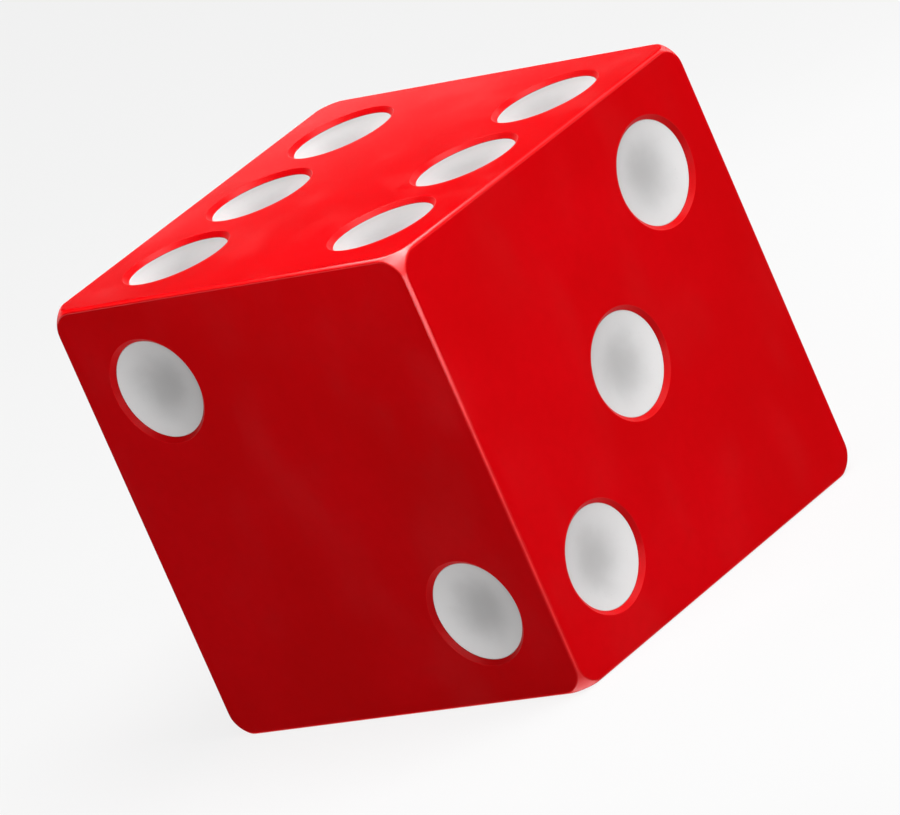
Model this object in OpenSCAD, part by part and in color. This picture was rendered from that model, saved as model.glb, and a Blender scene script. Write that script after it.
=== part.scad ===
// Casino die: a polished solid cube with a white inlay set in a countersunk
// pocket at each of its 21 spots.
// The origin is the centre of the face it rests on. +Z goes up through face six,
// -Y out of face two and +X out of face three, and opposite faces add up to seven.

/* [Body] */
// Distance between opposite faces of the cube
side = 19.05; // [18.5:0.05:25.4]
// Radius that polishing leaves along each of the twelve edges
edge_r = 0.18; // [0.05:0.01:0.3]
// How far along its edges each corner is rounded off
corner_reach = 1.15; // [0.6:0.05:1.6]

/* [Spots] */
// Distance from the middle of a face to its outer rows and columns of spots
spot_offset = 5.6; // [5.3:0.05:5.7]
// Radius of a white inlay
inlay_r = 2.12; // [1.6:0.01:2.2]
// Width of the red countersunk rim around an inlay, cut at 45 degrees
rim_w = 0.18; // [0.05:0.01:0.3]
// Depth of a pocket's flat floor below the face
pocket_depth = 1.2; // [0.9:0.05:1.3]
// Depth of an inlay's dished top below its own edge
dish_depth = 0.38; // [0.1:0.01:0.5]

/* [Hidden] */
$fn = 128;

// The tools that cut a face or an edge start this far outside the cube
clear = 0.5;
// The ball of a corner stands this far proud of the edges where it meets them
ball_proud = 0.015;

half = side / 2;
// The ball of each corner meets the crest of each edge at corner_reach from the corner
ball_r = sqrt(2) * corner_reach - (sqrt(2) - 1) * edge_r + ball_proud;
// The dish is part of a sphere that passes through the inlay's upper edge
dish_r = (inlay_r * inlay_r + dish_depth * dish_depth) / (2 * dish_depth);

// Each place a spot can take on a face: its name, and its steps right and up
CENTRE = ["centre", 0, 0];
UPPER_LEFT = ["upper_left", -1, 1];
UPPER_RIGHT = ["upper_right", 1, 1];
MIDDLE_LEFT = ["middle_left", -1, 0];
MIDDLE_RIGHT = ["middle_right", 1, 0];
LOWER_LEFT = ["lower_left", -1, -1];
LOWER_RIGHT = ["lower_right", 1, -1];
CORNERS = [UPPER_LEFT, UPPER_RIGHT, LOWER_LEFT, LOWER_RIGHT];

// Each face: its name, the turn that brings it round from the top, and its spots.
// Right and up are as seen from outside with +Z up, or with +Y up on face six.
FACES = [
    ["one", [180, 0, 0], [CENTRE]],
    ["two", [90, 0, 0], [UPPER_LEFT, LOWER_RIGHT]],
    ["three", [90, 0, 90], [UPPER_RIGHT, CENTRE, LOWER_LEFT]],
    ["four", [90, 0, 270], CORNERS],
    ["five", [90, 0, 180], concat([CENTRE], CORNERS)],
    ["six", [0, 0, 0], concat([MIDDLE_LEFT, MIDDLE_RIGHT], CORNERS)],
];

function inlay_name(face, spot) = str(face[0], "_pip_", spot[0]);

// Puts its children at a spot of a face, with their +Z out of the face
module at_spot(face, spot) {
    translate([0, 0, half])
        rotate(face[1])
            translate([spot[1] * spot_offset, spot[2] * spot_offset, half])
                children();
}

// A square with round corners, as long a bar as the cube is high
module rounded_bar() {
    inner = side - 2 * edge_r;
    linear_extrude(height = side, center = true) {
        square([side, inner], center = true);
        square([inner, side], center = true);
        for (x = [-1, 1], y = [-1, 1]) {
            translate([x * inner / 2, y * inner / 2]) circle(r = edge_r);
        }
    }
}

// The cube with its twelve edges rounded
module rounded_cube() {
    translate([0, 0, half]) {
        intersection() {
            rounded_bar();
            rotate([90, 0, 0]) rounded_bar();
            rotate([0, 90, 0]) rounded_bar();
        }
    }
}

// What is cut away at the corner that points along +X, +Y and +Z
module corner_cutter() {
    difference() {
        cube(corner_reach + clear);
        sphere(r = ball_r);
    }
}

// A flat-floored pocket with a countersunk rim, its mouth at z = 0
module pocket() {
    rotate_extrude() {
        polygon([
            [0, -pocket_depth],
            [inlay_r, -pocket_depth],
            [inlay_r, -rim_w],
            [inlay_r + rim_w + clear, clear],
            [0, clear],
        ]);
    }
}

module die_body() {
    corner = half - corner_reach;
    color([0.8, 0.01, 0.03])
        difference() {
            rounded_cube();
            for (x = [0, 1], y = [0, 1], z = [0, 1]) {
                translate([0, 0, half])
                    mirror([x, 0, 0])
                        mirror([0, y, 0])
                            mirror([0, 0, z])
                                translate([corner, corner, corner])
                                    corner_cutter();
            }
            for (face = FACES, spot = face[2]) {
                at_spot(face, spot) pocket();
            }
        }
}

// A white plug that fills its pocket up to the rim and has a dished top
module pip_inlay() {
    color([0.93, 0.93, 0.92])
        difference() {
            translate([0, 0, -pocket_depth]) cylinder(r = inlay_r, h = pocket_depth);
            translate([0, 0, dish_r - dish_depth - rim_w]) sphere(r = dish_r);
        }
}

die_body();
for (face = FACES, spot = face[2]) {
    at_spot(face, spot) pip_inlay();
}
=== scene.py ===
"""The casino die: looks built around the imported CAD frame, in metres."""

import math

import bpy
import numpy as np
from mathutils import Matrix, Vector


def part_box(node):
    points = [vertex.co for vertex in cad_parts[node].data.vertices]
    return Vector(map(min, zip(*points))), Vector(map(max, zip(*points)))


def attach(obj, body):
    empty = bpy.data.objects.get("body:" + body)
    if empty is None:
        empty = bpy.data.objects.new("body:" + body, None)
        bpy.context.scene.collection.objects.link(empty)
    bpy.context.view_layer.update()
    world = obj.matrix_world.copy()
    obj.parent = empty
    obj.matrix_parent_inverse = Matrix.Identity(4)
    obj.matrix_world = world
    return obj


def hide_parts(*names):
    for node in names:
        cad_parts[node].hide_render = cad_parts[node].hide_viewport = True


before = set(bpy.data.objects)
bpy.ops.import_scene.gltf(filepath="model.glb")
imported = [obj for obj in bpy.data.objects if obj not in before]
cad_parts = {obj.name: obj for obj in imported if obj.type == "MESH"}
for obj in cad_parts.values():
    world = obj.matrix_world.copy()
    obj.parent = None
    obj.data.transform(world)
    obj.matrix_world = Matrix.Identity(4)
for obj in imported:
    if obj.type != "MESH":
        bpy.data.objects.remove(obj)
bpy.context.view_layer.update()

MM = 0.001

# ---------------------------------------------------------------- the die's own dimensions
# Those that the frame holds are read from it. The rest are the ones part.scad is drawn with.
LOW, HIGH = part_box("die_body")
CENTRE = np.array((LOW + HIGH) / 2)
SIDE = HIGH.z - LOW.z
HALF = SIDE / 2

EDGE_R = 0.18 * MM  # radius along the twelve edges
CORNER_REACH = 1.15 * MM  # how far along its edges a corner is rounded off
BALL_PROUD = 0.015 * MM  # how proud a corner's ball stands of the edges it meets
DISH_DEPTH = 0.38 * MM  # of an inlay's top, below its own edge

# Fine finish that only the visual model has
CREASE = 0.04 * MM  # how softly a corner's ball runs into the flats
MOUTH_FILLET = 0.03 * MM  # polished lip where a pocket's rim meets the face
INLAY_LIP = 0.03 * MM  # rounding of an inlay's upper edge

BALL_R = math.sqrt(2) * CORNER_REACH - (math.sqrt(2) - 1) * EDGE_R + BALL_PROUD
FLAT_EDGE = HALF - EDGE_R  # a flat ends here, measured from its middle
ARC_CENTRE = HALF - CORNER_REACH  # of a flat's rounded corner, along both directions

# How finely the surfaces are divided
CELL_STEPS = 24  # along each side of the square around a spot
ARC_STEPS = 10  # along each half of a flat's rounded corner
LIP_STEPS = 4  # across a small fillet
DISH_STEPS = 20  # from the middle of a dish to its edge
# Shares of the way from a flat's outline to the crest of the edge
BAND = (0, 0.04, 0.1, 0.17, 0.24, 0.31, 0.39, 0.48, 0.6, 0.73, 0.87, 1)

WELD = 1e-8  # points closer than this, in metres, are one vertex
SETTLE_STEPS = 12  # how many times a point is moved towards the outside

# How worn the surface is, and how much painted highlight brightens its edges, from 0 to 1
FULL_WEAR_AND_HIGHLIGHT = 0.28  # wear and painted highlight are full where a normal's largest component is this much below 1
LIP_WEAR_AND_HIGHLIGHT = 0.3  # in the middle of a pocket's lip

FLOOR_GLOW = 0.845  # brightness of the floor's own light, and of what the camera sees past the floor


class Face:
    """One side of the cube, with its own right, up and out directions."""

    def __init__(self, name, right, up, out):
        self.name = name
        self.turn = np.array([right, up, out], float)
        self.spots = []  # (node, middle of the spot along right and up)

    def place(self, points):
        """Places in the part's frame, from points along right, up and out of the cube's centre."""
        return np.asarray(points) @ self.turn + CENTRE

    def aim(self, normals):
        """Normals in the part's frame, from normals along right, up and out."""
        return np.asarray(normals) @ self.turn

    def local(self, point):
        """A place in the part's frame, as a point along right, up and out of the cube's centre."""
        return self.turn @ (np.array(point) - CENTRE)


FACES = (
    Face("one", (1, 0, 0), (0, -1, 0), (0, 0, -1)),
    Face("two", (1, 0, 0), (0, 0, 1), (0, -1, 0)),
    Face("three", (0, 1, 0), (0, 0, 1), (1, 0, 0)),
    Face("four", (0, -1, 0), (0, 0, 1), (-1, 0, 0)),
    Face("five", (-1, 0, 0), (0, 0, 1), (0, 1, 0)),
    Face("six", (1, 0, 0), (0, 1, 0), (0, 0, 1)),
)


def find_spots():
    """Gives each face its spots.
    Returns an inlay's radius, and the depths of its edge and its bottom."""
    for face in FACES:
        for node in sorted(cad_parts):
            if node.startswith(face.name + "_pip_"):
                low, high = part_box(node)
                face.spots.append((node, face.local((low + high) / 2)[:2]))
    low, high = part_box("six_pip_upper_left")
    return (high.x - low.x) / 2, HIGH.z - high.z, HIGH.z - low.z


INLAY_R, RIM_DEPTH, POCKET_DEPTH = find_spots()
MOUTH_R = INLAY_R + RIM_DEPTH  # the rim is a 45 degree countersink
SPOT_STEP = max(abs(middle[0]) for face in FACES for _, middle in face.spots)


# ---------------------------------------------------------------- meshes
class Builder:
    """Collects faces whose corners each have their own normal, and welds points that meet.
    A point also has a value for each attribute that the material reads."""

    def __init__(self, *attributes):
        self.index, self.points, self.faces, self.normals = {}, [], [], []
        self.values = {name: [] for name in attributes}

    def vertex(self, point, values):
        key = tuple(np.round(point / WELD).astype(np.int64))
        if key not in self.index:
            self.index[key] = len(self.points)
            self.points.append(point)
            for name, value in zip(self.values, values):
                self.values[name].append(value)
        return self.index[key]

    def sheet(self, points, normals, values, closed=False):
        """Quads between rows of points, each of which may be a closed loop.
        Their outside is the way along a row crossed with the way to the next row."""
        rows, columns = points.shape[:2]
        index = [[self.vertex(points[r, c], values[r][c]) for c in range(columns)] for r in range(rows)]
        for r in range(rows - 1):
            for c in range(columns if closed else columns - 1):
                d = (c + 1) % columns
                corners = ((r, c), (r, d), (r + 1, d), (r + 1, c))
                self.face([index[i][j] for i, j in corners], [normals[i, j] for i, j in corners])

    def face(self, corners, normals):
        """A face without the corners that were welded to the one before."""
        kept = [k for k in range(len(corners)) if corners[k] != corners[k - 1]]
        if len(kept) > 2:
            self.faces.append([corners[k] for k in kept])
            self.normals += [normals[k] for k in kept]

    def disc(self, points, normal, values):
        """One flat face inside a ring of points that runs anticlockwise as seen from outside."""
        self.face([self.vertex(p, v) for p, v in zip(points, values)], [normal] * len(points))

    def make(self, name):
        mesh = bpy.data.meshes.new(name)
        mesh.from_pydata([tuple(p) for p in self.points], [], self.faces)
        for polygon in mesh.polygons:
            polygon.use_smooth = True
        for attribute, values in self.values.items():
            made = mesh.attributes.new(attribute, "FLOAT", "POINT")
            made.data.foreach_set("value", np.array(values, np.float32))
        mesh.normals_split_custom_set([tuple(n) for n in self.normals])
        mesh.validate()
        made = bpy.data.objects.new(name, mesh)
        bpy.context.scene.collection.objects.link(made)
        return made


def unit(vectors):
    """The vectors at length 1, but for a zero vector, which stays as it is."""
    return vectors / np.maximum(np.linalg.norm(vectors, axis=-1, keepdims=True), 1e-12)


def outside(points):
    """Distance from the polished outside, and its gradient.
    The outside is a cube with rounded edges that a ball trims at each corner."""
    cube = np.maximum(np.abs(points) - FLAT_EDGE, 0)
    ball = np.maximum(np.abs(points) - ARC_CENTRE, 0)
    from_cube = np.linalg.norm(cube, axis=-1, keepdims=True) - EDGE_R
    from_ball = np.linalg.norm(ball, axis=-1, keepdims=True) - BALL_R
    near = np.maximum(CREASE - np.abs(from_cube - from_ball), 0) / CREASE
    distance = np.maximum(from_cube, from_ball) + near**2 * CREASE / 4
    share = np.where(from_cube > from_ball, near / 2, 1 - near / 2)
    gradient = (unit(cube) * (1 - share) + unit(ball) * share) * np.sign(points)
    return distance, gradient


def onto_outside(points):
    """The points moved onto the polished outside, and their normals."""
    for _ in range(SETTLE_STEPS):
        distance, gradient = outside(points)
        points = points - distance * gradient / (gradient**2).sum(-1, keepdims=True)
    return points, unit(outside(points)[1])


def across(middle, distance, start, end):
    """Places from start to end along a line that passes a spot's middle at a distance.
    They stand at equal angles as seen from the middle."""
    first, last = (math.atan((place - middle) / distance) for place in (start, end))
    return middle + distance * np.tan(np.linspace(first, last, CELL_STEPS + 1))


def ring_of(*stretches):
    """A closed anticlockwise loop, from stretches that each start where the last one ends."""
    return np.concatenate([s[:-1] for s in stretches])


def line(x, y):
    """Points in a flat's plane, from places along x and y, either of which may be one number."""
    x, y = np.broadcast_arrays(x, y)
    return np.stack([x, y], -1)


def centre_cell():
    """The outline of the square round a face's middle."""
    h = SPOT_STEP / 2
    along = across(0, h, -h, h)
    return np.zeros(2), ring_of(line(h, along), line(-along, h), line(-h, -along), line(along, -h)), None


def side_cell():
    """The outline round a middle-right spot, and the stretch of it that is the flat's edge."""
    h = SPOT_STEP / 2
    out = across(0, FLAT_EDGE - SPOT_STEP, -h, h)
    along = across(SPOT_STEP, h, h, FLAT_EDGE)
    back = across(0, h, -h, h)
    outline = ring_of(line(FLAT_EDGE, out), line(along[::-1], h), line(h, -back), line(along, -h))
    return np.array([SPOT_STEP, 0]), outline, crest_beside(out)


def corner_cell():
    """The outline round an upper-right spot, and the stretch of it that is the flat's edge."""
    h = SPOT_STEP / 2
    out = across(SPOT_STEP, FLAT_EDGE - SPOT_STEP, h, ARC_CENTRE)
    along = across(SPOT_STEP, h, h, FLAT_EDGE)
    turn = np.linspace(0, math.pi / 2, 2 * ARC_STEPS + 1)
    arc_r = FLAT_EDGE - ARC_CENTRE
    arc = ARC_CENTRE + arc_r * np.stack([np.cos(turn), np.sin(turn)], -1)
    outline = ring_of(
        line(FLAT_EDGE, out), arc, line(out[::-1], FLAT_EDGE), line(h, along[::-1]), line(along, h)
    )
    first, last = crest_beside(out), crest_beside(out)[::-1][:, :, [1, 0, 2]]
    rounded = np.stack([np.insert(arc, 2, HALF, axis=1), crest_round(turn)], 1)
    return np.array([SPOT_STEP, SPOT_STEP]), outline, np.concatenate([first[:-1], rounded, last[1:]])


def crest_beside(places):
    """For each place up the flat's right side: its edge there, and the crest of the cube's edge."""
    crest = HALF - EDGE_R * (1 - math.sqrt(0.5))
    inner = np.stack([np.full_like(places, FLAT_EDGE), places, np.full_like(places, HALF)], -1)
    outer = np.stack([np.full_like(places, crest), places, np.full_like(places, crest)], -1)
    return np.stack([inner, outer], 1)


def crest_round(turn):
    """Points that lead along one crest to the corner of the cube and back along the next."""
    share = 1 - np.abs(turn / (math.pi / 4) - 1)
    up = share * BALL_R / math.sqrt(3)
    side = np.sqrt((BALL_R**2 - up**2) / 2)
    first = np.stack([side, up, side], -1)
    return ARC_CENTRE + np.where((turn <= math.pi / 4)[:, None], first, first[:, [1, 0, 2]])


def wear_and_highlight_of(normals):
    """0 on a flat, and up to 1 on edges and corners."""
    return np.clip((1 - np.abs(normals).max(-1)) / FULL_WEAR_AND_HIGHLIGHT, 0, 1)


def pocket_profile():
    """Radius and height of the polished lip and the rim of a pocket, with their normals."""
    tangent = MOUTH_FILLET * math.tan(math.pi / 8)
    lean = np.linspace(0, math.pi / 4, LIP_STEPS + 1)
    normals = np.stack([-np.sin(lean), np.cos(lean)], -1)
    lip = np.array([MOUTH_R + tangent, -MOUTH_FILLET]) + MOUTH_FILLET * normals
    return np.vstack([lip, [INLAY_R, -RIM_DEPTH]]), np.vstack([normals, normals[-1]])


def revolve(angles, middle, height, profile, normals):
    """A profile of radius and height turned round a middle: rows of points and of normals."""
    ways = np.stack([np.cos(angles), np.sin(angles)], -1)
    points = [np.column_stack([middle + r * ways, np.full(len(ways), height + z)]) for r, z in profile]
    turned = [np.column_stack([r * ways, np.full(len(ways), z)]) for r, z in normals]
    return np.array(points), np.array(turned)


def add_pocket(builder, face, angles, middle):
    """The pocket round a spot's middle: its lip and rim, its wall and its floor."""
    profile, normals = pocket_profile()
    points, turned = revolve(angles, middle, HALF, profile, normals)
    recess = np.append(np.linspace(0, 1, LIP_STEPS + 1), 1)
    wear = np.append(np.sin(np.linspace(0, math.pi, LIP_STEPS + 1)), 0) * LIP_WEAR_AND_HIGHLIGHT
    values = [[(w, r)] * len(angles) for w, r in zip(wear, recess)]
    builder.sheet(face.place(points), face.aim(turned), values, closed=True)
    wall, turned = revolve(
        angles, middle, HALF, [(INLAY_R, -RIM_DEPTH), (INLAY_R, -POCKET_DEPTH)], [(-1, 0), (-1, 0)]
    )
    hidden = [(0, 1)] * len(angles)
    builder.sheet(face.place(wall), face.aim(turned), [hidden, hidden], closed=True)
    builder.disc(face.place(wall[1]), face.aim((0, 0, 1)), hidden)


def add_cell(builder, face, quarter, cell):
    """One of a face's nine cells, turned by quarters: its flat, any pocket in it, and its edge."""
    middle, outline, crest = cell
    cos, sin = ((1, 0), (0, 1), (-1, 0), (0, -1))[quarter]
    turn = np.array([[cos, sin], [-sin, cos]], float)
    middle, outline = middle @ turn, outline @ turn
    offsets = outline - middle
    angles = np.arctan2(offsets[:, 1], offsets[:, 0])
    inner_r = MOUTH_R + MOUTH_FILLET * math.tan(math.pi / 8)
    circle = middle + inner_r * np.stack([np.cos(angles), np.sin(angles)], -1)
    flat = np.stack([np.insert(outline, 2, HALF, axis=1), np.insert(circle, 2, HALF, axis=1)])
    values = [[(0, 0)] * len(outline)] * 2
    up = np.broadcast_to(face.aim((0, 0, 1)), flat.shape)
    builder.sheet(face.place(flat), up, values, closed=True)
    if any(np.linalg.norm(spot - middle) < INLAY_R for _, spot in face.spots):
        add_pocket(builder, face, angles, middle)
    else:
        builder.disc(face.place(flat[1]), up[0, 0], values[0])
    if crest is None:
        return
    spin = np.eye(3)
    spin[:2, :2] = turn
    inner, outer = crest[:, 0] @ spin, crest[:, 1] @ spin
    rows = np.array([inner + (outer - inner) * share for share in BAND])
    rows, normals = onto_outside(rows)
    wear = [[(w, 0) for w in row] for row in wear_and_highlight_of(normals)]
    builder.sheet(face.place(rows[::-1]), face.aim(normals[::-1]), wear[::-1])


def make_body():
    """The red cube: six faces of nine cells, welded along the crests of the edges."""
    builder = Builder("wear", "recess")
    cells = [(centre_cell(), 1), (side_cell(), 4), (corner_cell(), 4)]
    for face in FACES:
        for cell, quarters in cells:
            for quarter in range(quarters):
                add_cell(builder, face, quarter, cell)
    return builder.make("body")


def inlay_profile():
    """Radius and height of an inlay from the middle of its dish to its bottom edge, with normals."""
    dish_r = (INLAY_R**2 + DISH_DEPTH**2) / (2 * DISH_DEPTH)
    dish_centre = np.array([0, dish_r - DISH_DEPTH - RIM_DEPTH])
    lip_x = INLAY_R - INLAY_LIP
    lean = math.asin(lip_x / (dish_r + INLAY_LIP))
    angles = np.linspace(0, lean, DISH_STEPS + 1)
    dish_normals = np.stack([-np.sin(angles), np.cos(angles)], -1)
    dish = dish_centre - dish_r * dish_normals
    lip_centre = np.array([lip_x, dish_centre[1] - (dish_r + INLAY_LIP) * math.cos(lean)])
    angles = np.linspace(-lean, math.pi / 2, 2 * LIP_STEPS + 1)[1:]
    lip_normals = np.stack([np.sin(angles), np.cos(angles)], -1)
    lip = lip_centre + INLAY_LIP * lip_normals
    profile = np.vstack([dish, lip, [INLAY_R, -POCKET_DEPTH]])
    return profile, np.vstack([dish_normals, lip_normals, [1, 0]])


def make_inlay(face, node, middle):
    """One white plug with a dished top, which fills the pocket of its spot."""
    builder = Builder("dish")
    angles = np.linspace(0, 2 * math.pi, 4 * CELL_STEPS, endpoint=False)
    profile, normals = inlay_profile()
    points, turned = revolve(angles, middle, HALF, profile, normals)
    points, turned = points[::-1], turned[::-1]
    values = [[(r / INLAY_R,)] * len(angles) for r in profile[::-1, 0]]
    builder.sheet(face.place(points), face.aim(turned), values, closed=True)
    builder.disc(face.place(points[0, ::-1]), face.aim((0, 0, -1)), values[0])
    return builder.make("inlay_" + node.replace("_pip", ""))


# ---------------------------------------------------------------- materials
class Nodes:
    """A material's node tree, with short calls for the nodes that the finishes share."""

    def __init__(self, name):
        self.material = bpy.data.materials.new(name)
        self.material.use_nodes = True
        self.tree = self.material.node_tree
        self.shader = self.tree.nodes["Principled BSDF"]
        self.object = self.add("ShaderNodeTexCoord").outputs["Object"]

    def add(self, kind, **settings):
        node = self.tree.nodes.new(kind)
        for name, value in settings.items():
            setattr(node, name, value)
        return node

    def link(self, source, target):
        self.tree.links.new(source, target)

    def fill(self, node, inputs):
        """Sets a node's inputs, each from a value or from a socket."""
        for name, value in inputs.items():
            if isinstance(value, bpy.types.NodeSocket):
                self.link(value, node.inputs[name])
            else:
                node.inputs[name].default_value = value
        return node

    def noise(self, size, detail=3.0, stretch=None, turn=(0, 0, 0)):
        """Noise from 0 to 1 with features about size metres across, turned and scaled if asked."""
        vector = self.object
        if stretch:
            mapping = self.fill(self.add("ShaderNodeMapping"), {"Vector": vector})
            mapping.inputs["Rotation"].default_value = turn
            mapping.inputs["Scale"].default_value = stretch
            vector = mapping.outputs["Vector"]
        inputs = {"Vector": vector, "Scale": 1 / size, "Detail": detail}
        return self.fill(self.add("ShaderNodeTexNoise"), inputs).outputs["Fac"]

    def attribute(self, name):
        return self.add("ShaderNodeAttribute", attribute_name=name).outputs["Fac"]

    def remap(self, value, low, high, to_low=0.0, to_high=1.0, smooth=True):
        node = self.add("ShaderNodeMapRange", interpolation_type="SMOOTHSTEP" if smooth else "LINEAR")
        inputs = {"Value": value, "From Min": low, "From Max": high, "To Min": to_low, "To Max": to_high}
        return self.fill(node, inputs).outputs["Result"]

    def math(self, operation, a, b):
        node = self.add("ShaderNodeMath", operation=operation)
        for socket, value in zip(node.inputs, (a, b)):
            if isinstance(value, bpy.types.NodeSocket):
                self.link(value, socket)
            else:
                socket.default_value = value
        return node.outputs[0]

    def mix(self, share, first, second):
        """A colour between first and second, either of which may be a colour or a socket."""
        node = self.add("ShaderNodeMix", data_type="RGBA")
        sockets = {s.identifier: s for s in node.inputs}
        chosen = (("Factor_Float", share), ("A_Color", first), ("B_Color", second))
        for identifier, value in chosen:
            if isinstance(value, bpy.types.NodeSocket):
                self.link(value, sockets[identifier])
            else:
                sockets[identifier].default_value = value
        return next(o for o in node.outputs if o.identifier == "Result_Color")

    def bump(self, height, depth, strength):
        node = self.add("ShaderNodeBump")
        self.fill(node, {"Height": height, "Distance": depth, "Strength": strength})
        self.link(node.outputs["Normal"], self.shader.inputs["Normal"])


def grey(value):
    return (value, value, value, 1)


def red_acetate():
    """Polished red plastic: cloudy colour, faint scratches and smears, and slightly scuffed edges,
    brighter partly from wear and partly as painted highlight.
    """
    n = Nodes("red_acetate")
    wear, recess = n.attribute("wear"), n.attribute("recess")
    # Colour: cloudy, with painted shade and dirt in the recesses, and painted highlight and wear on the
    # edges
    cloud = n.noise(6 * MM, detail=4.0)
    colour = n.mix(n.remap(cloud, 0.3, 0.7), (0.57, 0.0, 0.0015, 1), (0.63, 0.0, 0.0025, 1))
    fine = n.noise(0.5 * MM, detail=5.0)
    colour = n.mix(n.remap(fine, 0.35, 0.75, 0.0, 0.25), colour, (0.52, 0.0, 0.001, 1))
    # Painted shade, with dirt: the recesses are darkened towards a deeper red
    colour = n.mix(n.math("MULTIPLY", recess, 0.25), colour, (0.42, 0.0, 0.001, 1))
    # Painted highlight, with wear: the edges and the pockets' lips are brightened towards a light red
    scuff = n.remap(n.noise(0.9 * MM, detail=6.0), 0.42, 0.62, 0.65, 1.0)
    colour = n.mix(n.math("MULTIPLY", wear, scuff), colour, (0.98, 0.002, 0.004, 1))
    n.link(colour, n.shader.inputs["Base Color"])
    # Gloss: wiped smears, three directions of hairline scratches, and duller edges and recesses
    smears = n.noise(3.5 * MM, stretch=(1, 1.6, 0.7), turn=(0.5, 0.2, 0.9))
    smears = n.remap(smears, 0.45, 0.7, 0.0, 0.05)
    scratches = None
    for turn in ((0.3, 0.9, 0.2), (1.1, 0.2, 1.4), (0.7, 1.6, 2.3)):
        streak = n.noise(1.2 * MM, detail=1.0, stretch=(24, 24, 0.5), turn=turn)
        streak = n.remap(streak, 0.70, 0.78)
        scratches = streak if scratches is None else n.math("MAXIMUM", scratches, streak)
    rough = n.math("ADD", smears, n.math("MULTIPLY", scratches, 0.10))
    rough = n.math("ADD", rough, n.math("MULTIPLY", n.math("MAXIMUM", wear, recess), 0.26))
    n.link(n.math("ADD", rough, 0.10), n.shader.inputs["Roughness"])
    height = n.math("ADD", n.math("MULTIPLY", scratches, -0.6), n.math("MULTIPLY", fine, 0.25))
    n.bump(height, 0.004 * MM, 0.35)
    # The cut rims were never polished, so they gleam less
    n.link(n.remap(recess, 0.0, 1.0, 0.5, 0.06), n.shader.inputs["Specular IOR Level"])
    n.fill(n.shader, {"IOR": 1.47})
    return n.material


def white_enamel():
    """Dished white inlay: greyer towards its middle as painted shade, with fine specks and grain."""
    n = Nodes("white_enamel")
    dish = n.attribute("dish")
    # Painted shade: the dish is grey in its middle and lighter towards its edge, with a wavering border
    drift = n.remap(n.noise(1.3 * MM, detail=4.0), 0.3, 0.7, -0.06, 0.06)
    middle = n.remap(n.math("ADD", dish, drift), 0.1, 0.9)
    colour = n.mix(middle, grey(0.46), grey(0.65))
    speck = n.remap(n.noise(0.12 * MM, detail=3.0), 0.66, 0.78, 0.0, 0.35)
    colour = n.mix(speck, colour, grey(0.45))
    n.link(colour, n.shader.inputs["Base Color"])
    grain = n.noise(0.25 * MM, detail=5.0)
    n.link(n.remap(grain, 0.3, 0.7, 0.40, 0.52), n.shader.inputs["Roughness"])
    n.bump(grain, 0.003 * MM, 0.3)
    n.fill(n.shader, {"IOR": 1.5})
    return n.material


def pale_floor():
    """A sheet that glows softly, like a light table, so that the die's shadow stays faint."""
    n = Nodes("pale_floor")
    mottle = n.remap(n.noise(40 * MM, detail=4.0), 0.3, 0.7)
    n.link(n.mix(mottle, grey(0.075), grey(0.085)), n.shader.inputs["Base Color"])
    n.fill(n.shader, {"Roughness": 0.9, "Specular IOR Level": 0.0})
    n.fill(n.shader, {"Emission Color": grey(1.0), "Emission Strength": FLOOR_GLOW})
    return n.material


def glow(low, high, brightness):
    """Light that fades from a brightness at one height above the floor to nothing at another."""
    n = Nodes("ring_glow")
    split = n.fill(n.add("ShaderNodeSeparateXYZ"), {"Vector": n.object})
    fade = n.remap(split.outputs["Z"], low, high, 1.0, 0.0, smooth=False)
    strength = n.math("MULTIPLY", n.math("POWER", fade, 3.0), brightness)
    n.link(strength, n.shader.inputs["Emission Strength"])
    n.fill(n.shader, {"Base Color": grey(0.0), "Emission Color": grey(1.0), "Specular IOR Level": 0.0})
    return n.material


# ---------------------------------------------------------------- the stage
def group(name, pieces):
    """The pieces that a light is to reach, where it isn't to reach them all."""
    made = bpy.data.collections.new(name)
    for piece in pieces:
        made.objects.link(piece)
    return made


def softbox(
    name, place, level, size, towards=(0, 0, 0), shape="RECTANGLE", shades=True, gleams=True, only=None
):
    """An area light that the camera doesn't see, placed from the die's middle in sides of the die.
    On a surface at the middle that faces it, it gives level times the light that a white world would.
    It shades what it lights, and it gleams in polished surfaces, unless either is turned off.
    It reaches everything, unless it is for one group only."""
    light = bpy.data.lights.new(name, "AREA")
    light.shape = shape
    light.size, light.size_y = (measure * SIDE for measure in size)
    holder = bpy.data.objects.new(name, light)
    holder.location = Vector(CENTRE) + Vector(place) * SIDE
    light.energy = level * (math.pi * Vector(place).length * SIDE) ** 2
    aim = Vector(CENTRE) + Vector(towards) * SIDE - holder.location
    holder.rotation_mode = "QUATERNION"
    holder.rotation_quaternion = aim.to_track_quat("-Z", "Y")
    holder.visible_camera = False
    holder.visible_diffuse, holder.visible_glossy = shades, gleams
    holder.light_linking.receiver_collection = only
    bpy.context.scene.collection.objects.link(holder)


def stage_piece(name, vertices, faces, material):
    """A piece of the stage, which isn't part of the die."""
    mesh = bpy.data.meshes.new(name)
    mesh.from_pydata(vertices, [], faces)
    mesh.materials.append(material)
    piece = bpy.data.objects.new(name, mesh)
    bpy.context.scene.collection.objects.link(piece)
    return piece


def make_floor(material):
    """The floor isn't mirrored in the die, which keeps its upright sides a deep red."""
    reach = 3.0  # metres from the die to each side
    corners = [(-reach, -reach, 0), (reach, -reach, 0), (reach, reach, 0), (-reach, reach, 0)]
    floor = stage_piece("floor", corners, [(0, 1, 2, 3)], material)
    floor.visible_glossy = False
    return floor


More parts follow.
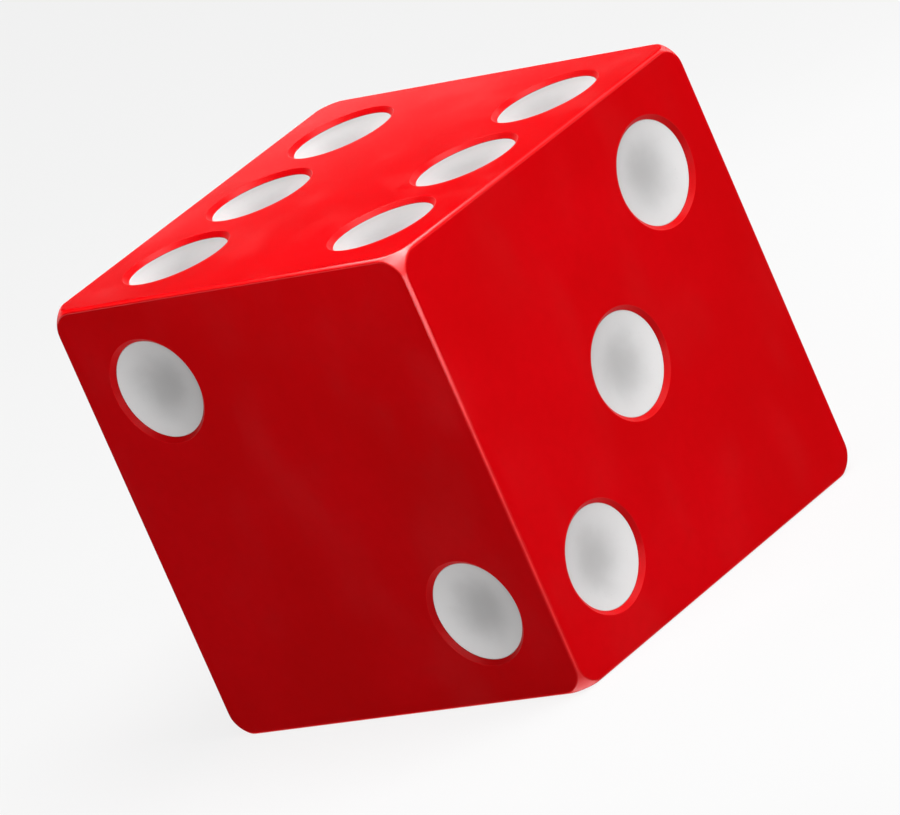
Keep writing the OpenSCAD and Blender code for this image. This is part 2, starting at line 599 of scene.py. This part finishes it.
def make_ring(only):
    """A low wall of light round the die that shows only in the body's gloss.
    It fades the top's far end to pink."""
    radius, low, high = 3.0 * SIDE, HIGH.z, HIGH.z + SIDE
    bright_up_to, dark_from, brightness = HIGH.z + 0.40 * SIDE, HIGH.z + 0.88 * SIDE, 1.15
    steps = 96
    turns = [2 * math.pi * k / steps for k in range(steps)]
    rim = [(radius * math.cos(a), radius * math.sin(a)) for a in turns]
    vertices = [(x, y, z) for z in (low, high) for x, y in rim]
    faces = [(k, (k + 1) % steps, steps + (k + 1) % steps, steps + k) for k in range(steps)]
    ring = stage_piece("ring", vertices, faces, glow(bright_up_to, dark_from, brightness))
    ring.visible_camera = ring.visible_diffuse = ring.visible_shadow = False
    ring.light_linking.receiver_collection = only


def make_world():
    """Dark, but for a pale patch straight below, which the die mirrors in its lower corners.
    Past the floor the camera sees it as pale as the floor."""
    patch_edge, patch_full, brightness = -0.80, -0.97, 4.0  # the patch by how far down a direction points
    world = bpy.data.worlds.new("studio")
    world.use_nodes = True
    tree = world.node_tree
    background = tree.nodes["Background"]
    background.inputs["Color"].default_value = grey(1.0)
    split = tree.nodes.new("ShaderNodeSeparateXYZ")
    tree.links.new(tree.nodes.new("ShaderNodeTexCoord").outputs["Generated"], split.inputs["Vector"])
    patch = tree.nodes.new("ShaderNodeMapRange")
    patch.interpolation_type = "SMOOTHSTEP"
    patch.inputs["From Min"].default_value = patch_edge
    patch.inputs["From Max"].default_value = patch_full
    patch.inputs["To Max"].default_value = brightness
    tree.links.new(split.outputs["Z"], patch.inputs["Value"])
    seen = tree.nodes.new("ShaderNodeMath")
    seen.operation = "MULTIPLY_ADD"
    tree.links.new(tree.nodes.new("ShaderNodeLightPath").outputs["Is Camera Ray"], seen.inputs[0])
    seen.inputs[1].default_value = FLOOR_GLOW
    tree.links.new(patch.outputs["Result"], seen.inputs[2])
    tree.links.new(seen.outputs[0], background.inputs["Strength"])
    bpy.context.scene.world = world


def make_lights(body, body_and_floor, inlays):
    """The white inlays have softer lights of their own, or those on the top would burn out."""
    softbox("key", (3, 1, 8), 1.5, (5, 5), only=body_and_floor)
    softbox("over_back", (-1.1, 1.1, 2.4), 0.7, (2, 2), gleams=False, only=body)
    softbox("inlay_key", (2.9, -1.5, 5.0), 0.88, (3.5, 3.5), gleams=False, only=inlays)
    softbox("inlay_fill", (2.7, -2.7, 1.1), 0.22, (1.5, 1.5), gleams=False, only=inlays)
    softbox("inlay_back", (-2.5, 2.5, 2.2), 1.05, (1.5, 1.5), gleams=False, only=inlays)
    softbox("near_front", (0.45, -1.35, 1.35), 0.2, (0.8, 0.8), (0.3, -0.5, 0.35), only=body_and_floor)
    softbox("right", (2.4, -0.3, 0.3), 0.12, (1.2, 1.2), gleams=False)
    softbox("behind", (0.4, 3.2, 1.2), 0.4, (1.5, 1.5))
    # What only gleams: in the crests round the top, in the near corner, and in the upright edges
    for name, place, level, size, towards, shape in (
        ("corner_glow", (0.37, -0.37, 1.3), 3.0, (1.65, 1.65), (0.37, -0.37, 0), "DISK"),
        ("star_glow", (1.3, -1.3, 2.1), 1.2, (2.0, 2.0), (0.5, -0.5, 0.5), "DISK"),
        ("edge_glow", (1.15, -1.15, 0.22), 0.55, (1.6, 0.4), (0, 0, 0.22), "RECTANGLE"),
        ("back_edge_glow", (-1.15, 1.15, 0.22), 0.3, (1.6, 0.4), (0, 0, 0.22), "RECTANGLE"),
    ):
        softbox(name, place, level, size, towards, shape, shades=False, only=body)


# Where the camera stands round the cube, and how it is held
VIEW_AZIMUTH = 44.97  # degrees from the front, towards the right side
VIEW_ELEVATION = 15.56  # degrees above the horizon
VIEW_ROLL = 23.7  # degrees that the camera is turned clockwise, so that the die leans in the picture
VIEW_DISTANCE = 23.55  # sides of the die
VIEW_AIM = (-0.0096, -0.0219, -0.0276)  # from the cube's middle, in sides of the die
LENS_MM = 453.35
SENSOR_MM = 36


def make_camera():
    """The camera looks across the near corner, and is rolled so that the die leans in the picture."""
    azimuth, elevation, roll = (math.radians(a) for a in (VIEW_AZIMUTH, VIEW_ELEVATION, VIEW_ROLL))
    reach = math.cos(elevation)
    back = Vector((math.sin(azimuth) * reach, -math.cos(azimuth) * reach, math.sin(elevation)))
    data = bpy.data.cameras.new("camera")
    data.sensor_width, data.lens = SENSOR_MM, LENS_MM
    data.clip_start, data.clip_end = 10 * MM, 10.0
    camera = bpy.data.objects.new("camera", data)
    aim = Vector(CENTRE) + Vector(VIEW_AIM) * SIDE
    level = (-back).to_track_quat("-Z", "Y").to_matrix().to_4x4()
    stand = Matrix.Translation(aim + back * VIEW_DISTANCE * SIDE)
    camera.matrix_world = stand @ level @ Matrix.Rotation(-roll, 4, "Z")
    bpy.context.scene.collection.objects.link(camera)
    bpy.context.scene.camera = camera


def dress(piece, material, node):
    """Gives a piece its material, and has it stand for its CAD node on the die's one body."""
    piece.data.materials.append(material)
    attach(piece, "root")
    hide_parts(node)


make_camera()
make_world()
floor = make_floor(pale_floor())
body = make_body()
dress(body, red_acetate(), "die_body")
enamel = white_enamel()
inlays = []
for face in FACES:
    for node, middle in face.spots:
        inlays.append(make_inlay(face, node, middle))
        dress(inlays[-1], enamel, node)

only_body = group("only_body", [body])
make_ring(only_body)
make_lights(only_body, group("body_and_floor", [body, floor]), group("inlays", inlays))

bpy.context.scene.view_settings.view_transform = "Standard"
